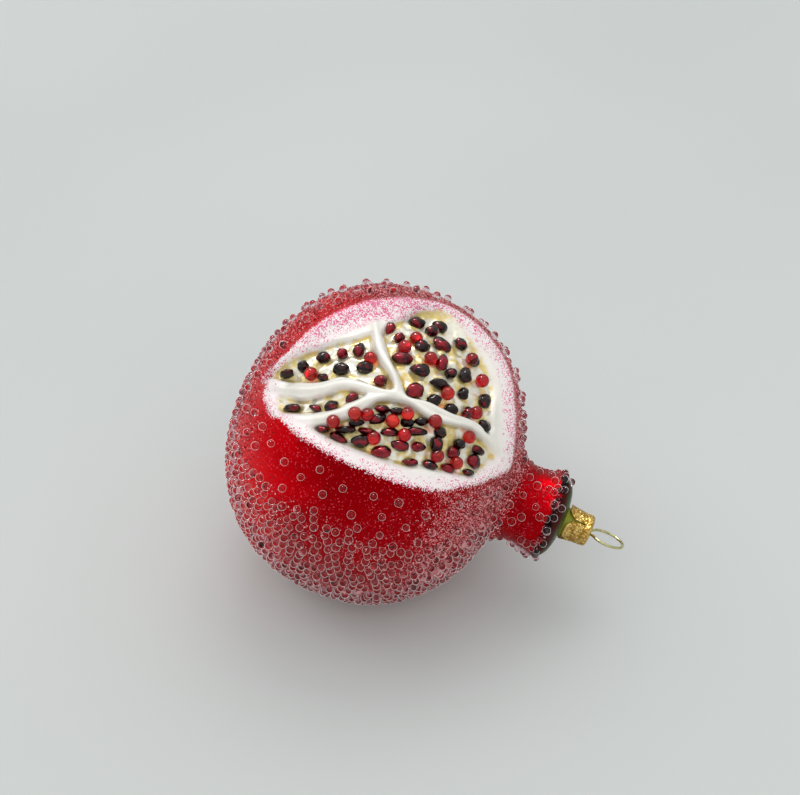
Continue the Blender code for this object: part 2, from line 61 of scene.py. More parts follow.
axis = Vector((math.cos(AXIS_DROOP), 0, -math.sin(AXIS_DROOP)))
upright = Vector((math.sin(AXIS_DROOP), 0, math.cos(AXIS_DROOP)))
facing = upright * math.cos(WINDOW_ROLL) - Vector((0, 1, 0)) * math.sin(WINDOW_ROLL)
fruit_axes = Matrix((facing.cross(axis), facing, axis)).transposed()
fruit = Matrix.Translation(BALL_MIDDLE) @ fruit_axes.to_4x4()


def ease(value):
    share = np.clip(value, 0, 1)
    return share * share * (3 - 2 * share)


def smooth_curve(points, per_span, closed=False):
    """Points on a smooth curve through the given ones."""
    given = np.array(points, float)
    if closed:
        knots = np.vstack((given[-1], given, given[:2]))
    else:
        knots = np.vstack((2 * given[0] - given[1], given, 2 * given[-1] - given[-2]))
    steps = np.arange(per_span)[:, None] / per_span
    spans = [
        0.5 * (2 * b + (c - a) * steps + (2 * a - 5 * b + 4 * c - d) * steps**2
               + (3 * b - a - 3 * c + d) * steps**3)
        for a, b, c, d in zip(knots, knots[1:], knots[2:], knots[3:])
    ]
    curve = np.vstack(spans)
    return curve if closed else np.vstack((curve, given[-1]))


def ball_radii(directions):
    """The radius of the slightly flattened ball towards unit directions in the fruit's frame."""
    along = np.abs(directions[:, 2]) / BALL_HALF_LENGTH
    across = np.hypot(directions[:, 0], directions[:, 1]) / BALL_RADIUS
    return (along**BALL_ROUNDNESS + across**BALL_ROUNDNESS) ** (-1 / BALL_ROUNDNESS)


def ball_radius(direction):
    return float(ball_radii(np.array([direction]))[0])


def bulb_profile():
    """(radius, along) points from the bore's bottom, round the neck's lip, to the ball's base."""
    crown = smooth_curve(CROWN_PROFILE[:10], 6)
    neck = np.array(CROWN_PROFILE[10:])
    points = [(radius * MM, along * MM) for along, radius in np.vstack((crown, neck))[::-1]]
    first = math.atan2(CROWN_PROFILE[0][1], CROWN_PROFILE[0][0])
    for ring in range(1, RINGS + 1):
        angle = first + (math.pi - first) * ring / RINGS
        direction = Vector((math.sin(angle), 0, math.cos(angle)))
        reach = direction * ball_radius(direction)
        points.append((reach.x if ring < RINGS else 0.0, reach.z))
    return points


def new_object(name, data):
    made = bpy.data.objects.new(name, data)
    bpy.context.scene.collection.objects.link(made)
    return made


def turned(name, profile, segments):
    """A closed mesh turned about the fruit's axis from a (radius, along) profile."""
    mesh = bpy.data.meshes.new(name)
    vertices = [(radius, 0, along) for radius, along in profile]
    mesh.from_pydata(vertices, [(i, i + 1) for i in range(len(vertices) - 1)], [])
    piece = new_object(name, mesh)
    screw = piece.modifiers.new("turn", "SCREW")
    screw.steps = screw.render_steps = segments
    screw.use_merge_vertices = True
    screw.merge_threshold = WELD_GAP
    bpy.context.view_layer.update()
    turned_piece = piece.evaluated_get(bpy.context.evaluated_depsgraph_get())
    turned_mesh = bpy.data.meshes.new_from_object(turned_piece)
    piece.modifiers.clear()
    piece.data = turned_mesh
    return piece


# The window is pressed into the ball by the mould: a sloping rim of white pith, then four cells
# sunk between rope-like white ridges, all soft-edged. Its plan, seen square on, is given in
# millimetres as (along the fruit's axis, across it). The mould gives the crown six faint lobes too.

SKIN_EDGE = (
    (-33.5, -9.1), (-29.0, 6.6), (-18.3, 19.5), (-3.4, 29.3), (6.0, 31.5), (13.0, 30.5),
    (21.0, 27.0), (27.3, 21.5), (32.6, 12.5), (36.5, 5.0), (38.1, -0.5), (31.4, -9.8),
    (18.3, -20.6), (0.8, -24.0), (-16.0, -21.8), (-29.4, -15.2),
)
CELLS = (
    ((-35.0, -6.0), (-33.0, -3.5), (-30.0, 0.5), (-26.5, 4.0), (-22.0, 7.0), (-17.0, 9.5),
     (-13.5, 12.5), (-12.0, 10.0), (-10.5, 7.5), (-8.0, 4.5), (-5.5, 2.5), (-3.0, 0.5),
     (-1.5, -2.0), (-4.0, -3.2), (-8.5, -3.2), (-15.5, -3.2), (-19.5, -5.5), (-23.0, -6.5),
     (-30.0, -6.8)),
    ((-30.0, -11.5), (-24.5, -12.0), (-20.5, -11.0), (-17.0, -9.0), (-14.0, -7.0), (-8.0, -6.2),
     (-9.0, -8.2), (-11.5, -10.2), (-13.5, -12.5), (-19.5, -15.0), (-26.0, -16.2), (-28.5, -14.5)),
    ((-10.0, 14.0), (-8.5, 11.0), (-5.5, 6.5), (-1.0, 2.0), (2.0, -1.5), (4.0, -2.4),
     (9.5, -1.1), (15.5, -0.7), (19.5, 0.5), (23.5, 1.7), (28.5, 1.8), (29.5, 4.5),
     (28.0, 7.0), (27.5, 10.0), (26.5, 14.5), (24.5, 18.5), (21.5, 21.5), (18.0, 24.5),
     (12.5, 27.8), (5.5, 30.5), (1.5, 30.0), (-3.0, 27.0), (-8.2, 20.2), (-9.8, 17.5)),
    ((-17.5, -18.6), (-14.5, -17.5), (-11.5, -15.4), (-7.0, -12.0), (-4.5, -8.0), (-3.0, -6.6),
     (0.5, -5.1), (5.5, -4.6), (12.0, -5.4), (18.0, -3.4), (22.0, -1.6), (28.0, -0.9),
     (34.3, -1.0), (32.5, -4.0), (30.8, -7.5), (28.5, -11.0), (25.0, -13.6), (14.0, -17.6),
     (10.0, -19.5), (1.5, -20.7), (-9.0, -20.6), (-14.5, -19.6)),
)
RIDGES = (
    ((-13.5, 17.0), (-11.0, 11.5), (-9.0, 8.0), (-6.8, 5.6), (-4.5, 3.3), (-2.5, 1.0), (0.0, -3.0)),
    ((-34.0, -9.0), (-25.0, -9.2), (-20.0, -8.3), (-16.0, -6.2), (-12.0, -4.9), (-4.0, -4.3),
     (0.0, -3.2)),
    ((-27.0, -18.0), (-17.0, -16.3), (-13.5, -14.2), (-10.5, -12.2), (-8.3, -9.8), (-6.2, -7.5),
     (-2.0, -4.6)),
    ((0.0, -3.2), (4.0, -3.4), (8.0, -2.3), (12.5, -2.2), (17.0, -1.4), (21.0, 0.1), (26.0, 1.4)),
    ((4.0, -3.5), (8.0, -4.2), (12.0, -4.4), (16.0, -3.3), (20.0, -1.7), (25.0, 0.2), (36.0, 0.6)),
)
PITH_DEPTH = 2.6 * MM
CELL_DEPTH = 2.0 * MM
RIM_SLOPE = 4.5 * MM
RIDGE_SLOPE = 1.6 * MM
LIP_HEIGHT = 0.3 * MM
LIP_HALF_WIDTH = 1.3 * MM
ROPE_HEIGHT = 0.8 * MM
ROPE_HALF_WIDTH = 1.15 * MM
ROPE_END_SLOPE = 4.0 * MM
DIMPLE_DEPTH = 0.6 * MM
DIMPLE_SIZE = 2.2 * MM
DIMPLE_SLOPE = 1.5 * MM
REFINE_ROUNDS = 2
REFINE_MARGIN = 1.5 * MM
CROWN_ROOT = 39 * MM
CROWN_LOBES = 6
LOBE_HEIGHT = 0.3 * MM
LOBES_START, LOBES_FULL = 42 * MM, 51 * MM
LOBES_FADE, LOBES_END = 54 * MM, 57 * MM
LOBED_RADIUS = 3.9 * MM
FAR_OUTSIDE = -20 * MM


def path_distance(places, path, closed):
    """How far each plan place lies from a path, in metres."""
    start = path if closed else path[:-1]
    end = np.roll(path, -1, axis=0) if closed else path[1:]
    edge = end - start
    offset = places[:, None, :] - start
    share = np.clip((offset * edge).sum(2) / (edge * edge).sum(1), 0, 1)
    return np.linalg.norm(offset - share[:, :, None] * edge, axis=2).min(1)


def inside_distance(places, outline):
    """How far each plan place lies inside a closed outline, or less than 0 outside it."""
    start, end = outline, np.roll(outline, -1, axis=0)
    edge = end - start
    crosses = (start[:, 1] > places[:, None, 1]) != (end[:, 1] > places[:, None, 1])
    rise = np.where(edge[:, 1] == 0, 1, edge[:, 1])
    at = start[:, 0] + (places[:, None, 1] - start[:, 1]) / rise * edge[:, 0]
    inside = (crosses & (places[:, None, 0] < at)).sum(1) % 2 == 1
    distance = path_distance(places, outline, True)
    return np.where(inside, distance, -distance)


skin_edge = smooth_curve(SKIN_EDGE, 6, closed=True) * MM
cell_edges = [smooth_curve(cell, 5, closed=True) * MM for cell in CELLS]
ropes = [smooth_curve(ridge, 6) * MM for ridge in RIDGES]


def floor_dimples(places):
    """The uneven floor of the cells, pressed with low bumps like seeds left unpainted."""
    return np.array([noise.noise(Vector((*place, 0)) / DIMPLE_SIZE) for place in places])


def window_relief(places):
    """(depth, distance inside the skin's edge, distance inside a cell) at each plan place."""
    rim = inside_distance(places, skin_edge)
    cell = np.max([inside_distance(places, edge) for edge in cell_edges], axis=0)
    rope = np.min([path_distance(places, rope, False) for rope in ropes], axis=0)
    depth = PITH_DEPTH * ease(rim / RIM_SLOPE) + CELL_DEPTH * ease(cell / RIDGE_SLOPE + 0.5)
    depth -= LIP_HEIGHT * np.exp(-((rim / LIP_HALF_WIDTH) ** 2))
    depth -= ROPE_HEIGHT * np.exp(-((rope / ROPE_HALF_WIDTH) ** 2)) * ease(rim / ROPE_END_SLOPE)
    depth += DIMPLE_DEPTH * floor_dimples(places) * ease(cell / DIMPLE_SLOPE)
    return depth, rim, cell


def refine_window(mesh):
    """Splits the faces in and just around the window, fine enough for its ridges."""
    work = bmesh.new()
    work.from_mesh(mesh)
    for _ in range(REFINE_ROUNDS):
        middles = [(face, face.calc_center_median()) for face in work.faces]
        front = [(face, middle.normalized()) for face, middle in middles
                 if middle.y > 0 and middle.z < CROWN_ROOT]
        places = np.array([(middle.z, middle.x) for _, middle in front]) * BALL_RADIUS
        near = inside_distance(places, skin_edge) > -REFINE_MARGIN
        split = [face for (face, _), kept in zip(front, near) if kept]
        edges = dict.fromkeys(edge for face in split for edge in face.edges)
        bmesh.ops.subdivide_edges(work, edges=list(edges), cuts=1, use_grid_fill=True)
    work.to_mesh(mesh)
    work.free()


def press_window(mesh):
    """Sets the ball's vertices on its true surface, sinks the window and notes where they lie."""
    count = len(mesh.vertices)
    coords = np.empty(count * 3)
    mesh.vertices.foreach_get("co", coords)
    coords = coords.reshape(-1, 3)
    length = np.linalg.norm(coords, axis=1)
    direction = coords / np.maximum(length, 1e-9)[:, None]
    radial = np.hypot(coords[:, 0], coords[:, 1])
    on_ball = (coords[:, 2] < CROWN_PROFILE[0][0] * MM) & (length > BALL_RADIUS / 2)
    coords[on_ball] = direction[on_ball] * ball_radii(direction[on_ball])[:, None]
    rim, cell = np.full(count, FAR_OUTSIDE), np.full(count, FAR_OUTSIDE)
    front = on_ball & (coords[:, 1] > 0)
    places = direction[front][:, (2, 0)] * BALL_RADIUS
    depth, rim[front], cell[front] = window_relief(places)
    coords[front] -= direction[front] * depth[:, None]
    lobe = ease((coords[:, 2] - LOBES_START) / (LOBES_FULL - LOBES_START))
    lobe *= ease((LOBES_END - coords[:, 2]) / (LOBES_END - LOBES_FADE)) * (radial > LOBED_RADIUS)
    swing = np.cos(CROWN_LOBES * np.arctan2(coords[:, 1], coords[:, 0]))
    coords[:, :2] *= (1 + lobe * LOBE_HEIGHT * swing / np.maximum(radial, 1e-6))[:, None]
    notes = {"rim_mm": rim, "cell_mm": cell, "along_mm": coords[:, 2], "across_mm": coords[:, 0]}
    for name, values in notes.items():
        mesh.attributes.new(name, "FLOAT", "POINT").data.foreach_set("value", values / MM)
    mesh.vertices.foreach_set("co", coords.ravel())


def lay_down(mesh):
    """Puts a mesh from the fruit's frame onto the table, with nothing of it below the table."""
    mesh.transform(fruit)
    for vertex in mesh.vertices:
        vertex.co.z = max(vertex.co.z, 0.0)
    mesh.update()


def smooth(mesh):
    mesh.polygons.foreach_set("use_smooth", [True] * len(mesh.polygons))


class Shade:
    """A socket in a finish's node tree. Arithmetic on it adds the Math nodes that work it out."""

    def __init__(self, tree, socket=None):
        self.tree, self.socket = tree, socket

    def node(self, kind, settings=(), links=(), out=0):
        made = self.tree.nodes.new(kind)
        for name, value in dict(settings).items():
            setattr(made, name, value)
        for name, value in dict(links).items():
            if isinstance(value, Shade):
                self.tree.links.new(value.socket, made.inputs[name])
            else:
                made.inputs[name].default_value = value
        return Shade(self.tree, made.outputs[out])

    def math(self, operation, *values):
        return self.node("ShaderNodeMath", {"operation": operation}, enumerate(values))

    def __add__(self, other):
        return self.math("ADD", self, other)

    def __sub__(self, other):
        return self.math("SUBTRACT", self, other)

    def __rsub__(self, other):
        return self.math("SUBTRACT", other, self)

    def __mul__(self, other):
        return self.math("MULTIPLY", self, other)

    __radd__, __rmul__ = __add__, __mul__

    def step(self, low, high):
        """0 below low and 1 above high, with a soft rise between them."""
        ends = {"Value": self, "From Min": low, "From Max": high}
        return self.node("ShaderNodeMapRange", {"interpolation_type": "SMOOTHSTEP"}, ends)

    def tint(self, low, high):
        """The colour low where this is 0 and high where it is 1."""
        return self.node("ShaderNodeMix", {"data_type": "RGBA"}, {0: self, 6: low, 7: high}, 2)

    def blend(self, low, high):
        """The shader low where this is 0 and high where it is 1."""
        return self.node("ShaderNodeMixShader", (), {0: self, 1: low, 2: high})

    def noted(self, name):
        """A number noted on the mesh's vertices when it was made."""
        return self.node("ShaderNodeAttribute", {"attribute_name": name}, (), "Fac")

    def grain(self, size, detail):
        """Noise of about the given size, in metres, from 0 to 1."""
        place = self.node("ShaderNodeTexCoord", (), (), "Object")
        links = {"Vector": place, "Scale": 1 / size, "Detail": detail}
        return self.node("ShaderNodeTexNoise", (), links)

    def flakes(self, size, out="Color"):
        """A random colour, or the distance to its middle, for each flake of about that size."""
        place = self.node("ShaderNodeTexCoord", (), (), "Object")
        return self.node("ShaderNodeTexVoronoi", (), {"Vector": place, "Scale": 1 / size}, out)

    def channel(self, name):
        return self.node("ShaderNodeSeparateColor", (), {"Color": self}, name)

    def slant(self):
        """How aslant glass is seen: 0 square on and 1 at its edge."""
        return self.node("ShaderNodeLayerWeight", (), {"Blend": 0.5}, "Facing")

    def bump(self, strength, distance):
        links = {"Height": self, "Strength": strength, "Distance": distance}
        return self.node("ShaderNodeBump", (), links)

    def vector(self, operation, links):
        return self.node("ShaderNodeVectorMath", {"operation": operation}, links)

    def tilted(self, amount):
        """The surface's normal, tipped by this random colour, as loose flakes catch the light."""
        tip = self.vector("SUBTRACT", {0: self, 1: (0.5, 0.5, 0.5)})
        tip = tip.vector("SCALE", {0: tip, "Scale": amount})
        normal = self.node("ShaderNodeNewGeometry", (), (), "Normal")
        return self.vector("NORMALIZE", {0: self.vector("ADD", {0: normal, 1: tip})})

    def finish(self, **inputs):
        """A Principled shader; a name's underscores stand for spaces."""
        links = {name.replace("_", " "): value for name, value in inputs.items()}
        return self.node("ShaderNodeBsdfPrincipled", (), links)


def new_finish(name, colour):
    """A material with an empty tree, and the shade that its nodes start from."""
    material = bpy.data.materials.new(name)
    material.use_nodes = True
    material.diffuse_color = colour
    material.node_tree.nodes.clear()
    return material, Shade(material.node_tree)


def set_surface(shade, surface):
    output = shade.tree.nodes.new("ShaderNodeOutputMaterial")
    shade.tree.links.new(surface.socket, output.inputs["Surface"])


# The bulb is silvered inside and lacquered outside. The skin is clear red over the silver and
# strewn with crushed glass; white frost fades it into the pearly pith, and the cells are bright
# silver with a yellow wash. The crown's rim is black, its end olive and dark red, its neck olive.

LACQUER_RED = (0.84, 0.0, 0.006, 1)
LACQUER_DEEP = (0.38, 0.0, 0.003, 1)
GLINT_RED = (0.90, 0.09, 0.12, 1)
GLINT_PALE = (0.90, 0.38, 0.40, 1)
FROST_WHITE = (0.87, 0.80, 0.79, 1)
SPECKLE_PINK = (0.70, 0.015, 0.20, 1)
PITH_CREAM = (0.91, 0.88, 0.81, 1)
PITH_SHADE = (0.84, 0.81, 0.72, 1)
CELL_CREAM = (0.93, 0.90, 0.78, 1)
CELL_GOLD = (0.84, 0.64, 0.22, 1)
CELL_SHADE_OLIVE = (0.38, 0.35, 0.20, 1)
RIM_BLACK = (0.010, 0.006, 0.006, 1)
END_OLIVE = (0.030, 0.055, 0.010, 1)
END_RED = (0.055, 0.006, 0.005, 1)
NECK_OLIVE = (0.34, 0.36, 0.05, 1)
GLITTER_SIZE = 0.26 * MM
GRIT_SIZE = 0.4 * MM
BARREL_STARTS = (36, 42)
BLACK_STARTS, BLACK_ENDS = (52.0, 52.5), (53.4, 54.2)
END_STARTS = (52.9, 53.5)
OLIVE_STARTS = (55.2, 56.6)
NECK_STARTS = (55.8, 56.4)


def bulb_finish():
    """Its bands are placed in millimetres, along or across the fruit, or in from an edge."""
    material, shade = new_finish("lacquered_glass", LACQUER_RED)
    rim, cell = shade.noted("rim_mm"), shade.noted("cell_mm")
    along, across = shade.noted("along_mm"), shade.noted("across_mm")

    flakes, grit = shade.flakes(GLITTER_SIZE), shade.flakes(GRIT_SIZE)
    dice, second_dice = flakes.channel("Green"), flakes.channel("Blue")
    grit_dice = grit.channel("Green")
    clouds = shade.grain(14 * MM, 2)
    wander = shade.grain(2.2 * MM, 3)
    clumps = shade.grain(5.0 * MM, 2)

    # Red skin, with glitter thickest at the crown and on top.
    crown_side = along.step(6, 34) - along.step(37, 46) * 1.5
    strewn = (crown_side * 0.8 + across.step(12, 34) + clouds * 0.8 - 0.5).step(0.0, 1.0)
    barrel = along.step(*BARREL_STARTS)
    specks = (dice + strewn * 0.2).step(0.95, 0.99) * (1 - barrel * 0.6)
    chips = (grit_dice + strewn * 0.32).step(0.97, 1.02)
    glitter = specks.math("MAXIMUM", specks, chips) * (0.4 + second_dice * 0.55)
    # Painted light: the red is painted brighter at the base and on the crown's barrel, where light
    # falls on it. It also varies in random clouds and is darker where the glitter lies thick.
    lacquer_tone_and_painted_light = 0.4 - along.step(-34, 0) + barrel * 0.25 + clouds * 1.2 - strewn * 0.4
    lacquer = lacquer_tone_and_painted_light.step(0.1, 0.9).tint(LACQUER_DEEP, LACQUER_RED)
    # Painted glints: the glitter's specks are painted brighter than the lacquer, red, and pale
    # where it lies thick, for the light that the glass grains catch.
    glint_colour = strewn.step(0.0, 0.5).tint(GLINT_RED, GLINT_PALE)
    skin_colour = glitter.tint(lacquer, glint_colour)

    # The crown's patchy black rim and its end.
    past_black = (along + wander * 2.0).step(*BLACK_ENDS)
    black = (along + wander * 3.0).step(*BLACK_STARTS) * (1 - past_black) * clumps.step(0.36, 0.50)
    end = (along + wander * 1.6).step(*END_STARTS)
    olive = (along + clumps * 3.0).step(*OLIVE_STARTS)
    neck = along.step(*NECK_STARTS)
    end_colour = neck.tint(olive.tint(END_RED, END_OLIVE), NECK_OLIVE)
    skin = shade.finish(
        Base_Color=black.tint(end.tint(skin_colour, end_colour), RIM_BLACK),
        Roughness=0.36 - end * 0.14,
        Metallic=(0.9 - end * 0.9) * (1 - glitter),
        Specular_IOR_Level=0.06,
        Normal=grit.tilted(0.10 + strewn * 0.6),
        Coat_Weight=neck * 0.7,
        Coat_Roughness=0.05,
    )

    # White frost with pink speckles, widest at the upper left, and the pearly pith inside it.
    upper = across.step(-6, 12)
    left = 1 - along.step(-12, 12)
    width = 0.8 + upper * 1.6 + upper * left * 3.4
    pressed = rim.math("MAXIMUM", rim, cell + 1.5)
    frost = (pressed + wander * 1.6 + second_dice * 1.1 - 0.55).step(0.65, 0.85)
    thinning = rim + clouds * 4.0 - 2.0
    speckled = (dice + (width - thinning) * 0.09 + wander * 0.9 - 0.45).step(0.80, 0.88)
    frost_colour = (speckled * 0.85).tint(FROST_WHITE, SPECKLE_PINK)
    pith_shade = shade.grain(5 * MM, 2).step(0.35, 0.75)
    pith_in = (pressed + wander * 1.5 - upper * left * 3.0).step(3.0, 4.6)
    pith_colour = pith_in.tint(frost_colour, (pith_shade * 0.6).tint(PITH_CREAM, PITH_SHADE))
    pith = shade.finish(
        Base_Color=pith_colour,
        Roughness=0.5 - pith_in * 0.2,
        Metallic=pith_in * 0.1,
        Coat_Weight=pith_in * 0.5,
        Coat_Roughness=0.15,
        Normal=shade.grain(1.6 * MM, 2).bump(0.25, 0.4 * MM),
    )

    # Silver cells with a yellow wash, and olive painted shade in random patches. Round the seeds
    # and beside the ridges both the wash and the olive thicken, as painted shade where these meet
    # the floor.
    round_seeds = 1 - shade.noted("seed_mm").step(0.1, 1.4)
    beside_ridge = 1 - cell.step(0.3, 1.5)
    gold = shade.grain(3.0 * MM, 2) + beside_ridge * clumps * 0.18 + round_seeds * 0.10
    wash = gold.step(0.46, 0.68).tint(CELL_CREAM, CELL_GOLD)
    # Olive painted shade in random patches, deeper round the seeds and beside the ridges.
    painted_cell_shade = clumps * 0.6 + shade.grain(1.4 * MM, 1) * 0.5 + round_seeds * 0.12 + beside_ridge * 0.06
    silver = shade.finish(
        Base_Color=(painted_cell_shade.step(0.60, 0.78) * 0.5).tint(wash, CELL_SHADE_OLIVE),
        Roughness=0.25,
        Metallic=0.35,
        Coat_Weight=0.5,
        Coat_Roughness=0.08,
        Normal=shade.grain(2.4 * MM, 1).bump(0.3, 0.6 * MM),
    )
    in_cell = (cell + wander * 0.6).step(0.1, 0.6)
    set_surface(shade, in_cell.blend(frost.blend(skin, pith), silver))
    return material


def blow_bulb():
    bulb = turned("lacquered_bulb", bulb_profile(), SEGMENTS)
    refine_window(bulb.data)
    press_window(bulb.data)
    lay_down(bulb.data)
    smooth(bulb.data)
    bulb.data.materials.clear()
    bulb.data.materials.append(bulb_finish())
    return bulb


bulb = blow_bulb()
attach(bulb, "root")
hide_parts("glass_bulb")

# The seeds are low bumps of the same moulded glass, brushed one by one with dark garnet lacquer
# until some are nearly black. Each is (along, across, turn of its long side in degrees, length,
# width) in millimetres.

SEEDS = (
    (-31.0, -4.5, 30, 4.0, 2.2), (-28.0, -1.5, 80, 3.4, 3.0), (-23.5, 2.0, 20, 3.8, 3.5),
    (-18.5, 4.0, 60, 3.2, 2.8), (-14.5, 6.5, 80, 4.0, 3.4), (-17.0, -1.0, 20, 4.2, 3.5),
    (-11.0, 1.5, 25, 4.5, 3.8), (-21.0, -4.5, 10, 3.2, 2.4), (-5.5, -1.0, 20, 3.6, 3.2),
    (-25.5, -14.5, 23, 5.0, 2.6), (-19.5, -13.5, 5, 3.8, 2.2), (-15.5, -12.0, 40, 3.8, 2.8),
    (-11.0, -8.5, 50, 3.6, 2.8),
    (-9.0, 17.5, 85, 4.0, 3.4), (-2.5, 24.0, 25, 4.5, 4.0), (4.0, 26.5, 0, 4.3, 3.5),
    (2.5, 23.0, 20, 3.8, 3.6), (-5.5, 15.0, 60, 3.5, 3.0), (1.5, 15.5, 30, 4.7, 4.4),
    (6.5, 19.5, -5, 5.4, 4.4), (11.5, 23.5, 0, 4.0, 3.5), (-2.5, 8.5, 15, 5.6, 3.8),
    (8.5, 13.0, 95, 5.2, 3.9), (3.5, 7.0, 15, 5.4, 4.3), (12.0, 11.0, 20, 3.2, 3.2),
    (16.0, 13.5, 105, 5.2, 4.3), (10.5, 6.0, 10, 5.8, 2.9), (4.5, 0.5, 30, 4.8, 4.4),
    (17.5, 7.5, 90, 3.9, 3.6), (10.5, 0.5, 20, 3.9, 3.6), (16.0, 0.5, 30, 3.9, 3.8),
    (24.5, 10.5, 80, 4.4, 4.1), (20.5, 2.5, 90, 3.7, 2.9), (27.5, 3.5, 10, 4.4, 3.7),
    (17.5, 20.5, 30, 2.8, 2.4),
    (-15.0, -18.5, 20, 4.0, 2.0), (-10.0, -19.5, -5, 5.0, 3.0), (-9.0, -17.0, 20, 5.4, 2.4),
    (-7.0, -14.5, 30, 4.0, 2.4), (-3.5, -15.5, 15, 4.8, 2.0), (2.5, -13.5, 20, 4.7, 2.6),
    (-2.0, -11.5, 40, 4.5, 2.8), (-2.0, -8.5, 15, 4.0, 2.4), (2.0, -7.5, 20, 3.6, 2.4),
    (6.0, -9.0, 20, 3.8, 2.6), (9.5, -7.0, 20, 3.6, 2.6), (9.5, -10.0, 20, 5.4, 2.8),
    (-4.0, -18.5, 25, 4.9, 4.0), (2.5, -19.0, 20, 5.2, 3.6), (6.5, -15.5, 10, 4.7, 3.6),
    (11.5, -13.5, 15, 4.0, 3.2), (11.0, -18.0, 15, 4.2, 2.4), (16.0, -10.5, 100, 4.8, 3.9),
    (15.5, -7.0, 0, 3.6, 3.2), (22.0, -6.5, -10, 3.4, 3.2), (21.5, -9.5, 20, 3.8, 3.8),
    (28.5, -4.0, 0, 4.2, 2.9), (28.5, -7.5, -20, 4.2, 4.0), (16.5, -16.0, 0, 4.2, 2.9),
    (21.5, -14.0, 0, 4.0, 3.1), (27.0, -11.5, 20, 3.0, 2.0),
)
SEED_HALF_HEIGHT = 1.7 * MM
SEED_LIFT = 0.7 * MM
SEED_PINCHES = (0.05, 0.13, 0.2, 0.28, 0.35)
SEED_LUMPS = 0.18
NO_SEED_NEAR = 20.0
GARNET = (0.27, 0.0, 0.010, 1)
GARNET_BLACK = (0.008, 0.001, 0.001, 1)
even = random.Random(7)


def plan_direction(along, across):
    out = math.sqrt(BALL_RADIUS**2 - along**2 - across**2)
    return Vector((across, out, along)) / BALL_RADIUS


def surface_frame(normal, turn):
    """A rotation whose Z is the normal and whose X is turned by an angle in the surface."""
    side = Vector((0, 0, 1)).cross(normal).normalized()
    up = normal.cross(side)
    x_axis = -up * math.cos(turn) + side * math.sin(turn)
    return Matrix((x_axis, normal.cross(x_axis), normal)).transposed().to_4x4()


def gather(name, shapes, material):
    """One piece of many shapes: (unit mesh, matrix in the fruit's frame, tone from 0 to 1)."""
    vertices, faces, tones = [], [], []
    for mesh, matrix, tone in shapes:
        first = len(vertices)
        placed = fruit @ matrix
        vertices += [placed @ vertex.co for vertex in mesh.vertices]
        faces += [[first + index for index in polygon.vertices] for polygon in mesh.polygons]
        tones += [tone] * len(mesh.vertices)
    mesh = bpy.data.meshes.new(name)
    mesh.from_pydata(vertices, [], faces)
    mesh.attributes.new("tone", "FLOAT", "POINT").data.foreach_set("value", tones)
    mesh.materials.append(material)
    smooth(mesh)
    piece = new_object(name, mesh)
    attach(piece, "root")
    return piece


def unit_ball(sides, rings, pinch=0.0, lumps=0.0):
    """A ball of radius 1, made lumpy and drawn in towards one end like a seed, by the shares."""
    mesh = bpy.data.meshes.new("unit_ball")
    work = bmesh.new()
    bmesh.ops.create_uvsphere(work, u_segments=sides, v_segments=rings, radius=1)
    for vertex in work.verts:
        vertex.co *= 1 + lumps * noise.noise(vertex.co * 1.4 + Vector((pinch * 90, 0, 0)))
        narrowed = 1 - pinch * (0.5 + 0.5 * vertex.co.x)
        vertex.co.y *= narrowed
        vertex.co.z *= 1 - 0.4 * (1 - narrowed)
    work.to_mesh(mesh)
    work.free()
    return mesh


def on_window(along, across, lift):
    """The surface's direction at a plan place in the window, and the point that far above it."""
    normal = plan_direction(along * MM, across * MM)
    sunk = float(window_relief(np.array([(along, across)]) * MM)[0][0])
    return normal, normal * (ball_radius(normal) - sunk + lift)


def seed_shapes():
    moulds = [unit_ball(24, 16, pinch, SEED_LUMPS) for pinch in SEED_PINCHES]
    for along, across, turn, length, width in SEEDS:
        normal, place = on_window(along, across, SEED_LIFT)
        lean = surface_frame(normal, math.radians(turn + even.choice((0, 180))))
        sizes = Matrix.Diagonal((length / 2 * MM, width / 2 * MM, SEED_HALF_HEIGHT, 1))
        yield even.choice(moulds), Matrix.Translation(place) @ lean @ sizes, even.random()


def garnet_finish():
    """Clear garnet lacquer over silver: deep red square on and nearly black at the edges."""
    material, shade = new_finish("garnet_lacquer", GARNET)
    glow_patches = shade.grain(1.9 * MM, 1)
    # Painted glow: each seed is painted deep red in soft patches, for light coming back through the
    # lacquer off the silver, and black elsewhere. Seeds with a higher tone, and their edges, are
    # blacker.
    dark = (shade.noted("tone") * 0.6 + shade.slant() * 0.6 + glow_patches * 1.2).step(0.66, 1.10)
    set_surface(shade, shade.finish(
        Base_Color=dark.tint(GARNET, GARNET_BLACK),
        Roughness=0.12 + glow_patches * 0.1,
        Metallic=0.5,
        Specular_IOR_Level=0.2,
        Coat_Weight=0.6,
        Coat_Roughness=0.02,
        Normal=shade.grain(2.2 * MM, 1).bump(0.3, 0.8 * MM),
    ))
    return material


def note_seed_distances(bulb_mesh):
    """Notes how far the bulb's points lie from the nearest seed, round which the yellow wash and
    the painted shade thicken.
    """
    outwards = [(fruit.inverted() @ vertex.co).normalized() for vertex in bulb_mesh.vertices]
    places = np.array([(direction.z, direction.x) for direction in outwards]) * BALL_RADIUS
    in_front = np.array([direction.y > 0 for direction in outwards])
    nearest = np.full(len(places), NO_SEED_NEAR)
    for along, across, _, length, width in SEEDS:
        off = np.linalg.norm(places / MM - (along, across), axis=1) - (length + width) / 4
        nearest = np.minimum(nearest, np.where(in_front, off, NO_SEED_NEAR))
    bulb_mesh.attributes.new("seed_mm", "FLOAT", "POINT").data.foreach_set("value", nearest)


note_seed_distances(bulb.data)
gather("garnet_seeds", seed_shapes(), garnet_finish())

# Round beads of clear red glass, 3.7 mm across, are glued on top of the moulded seeds here and
# there, one by one. Each is (along, across) in millimetres.

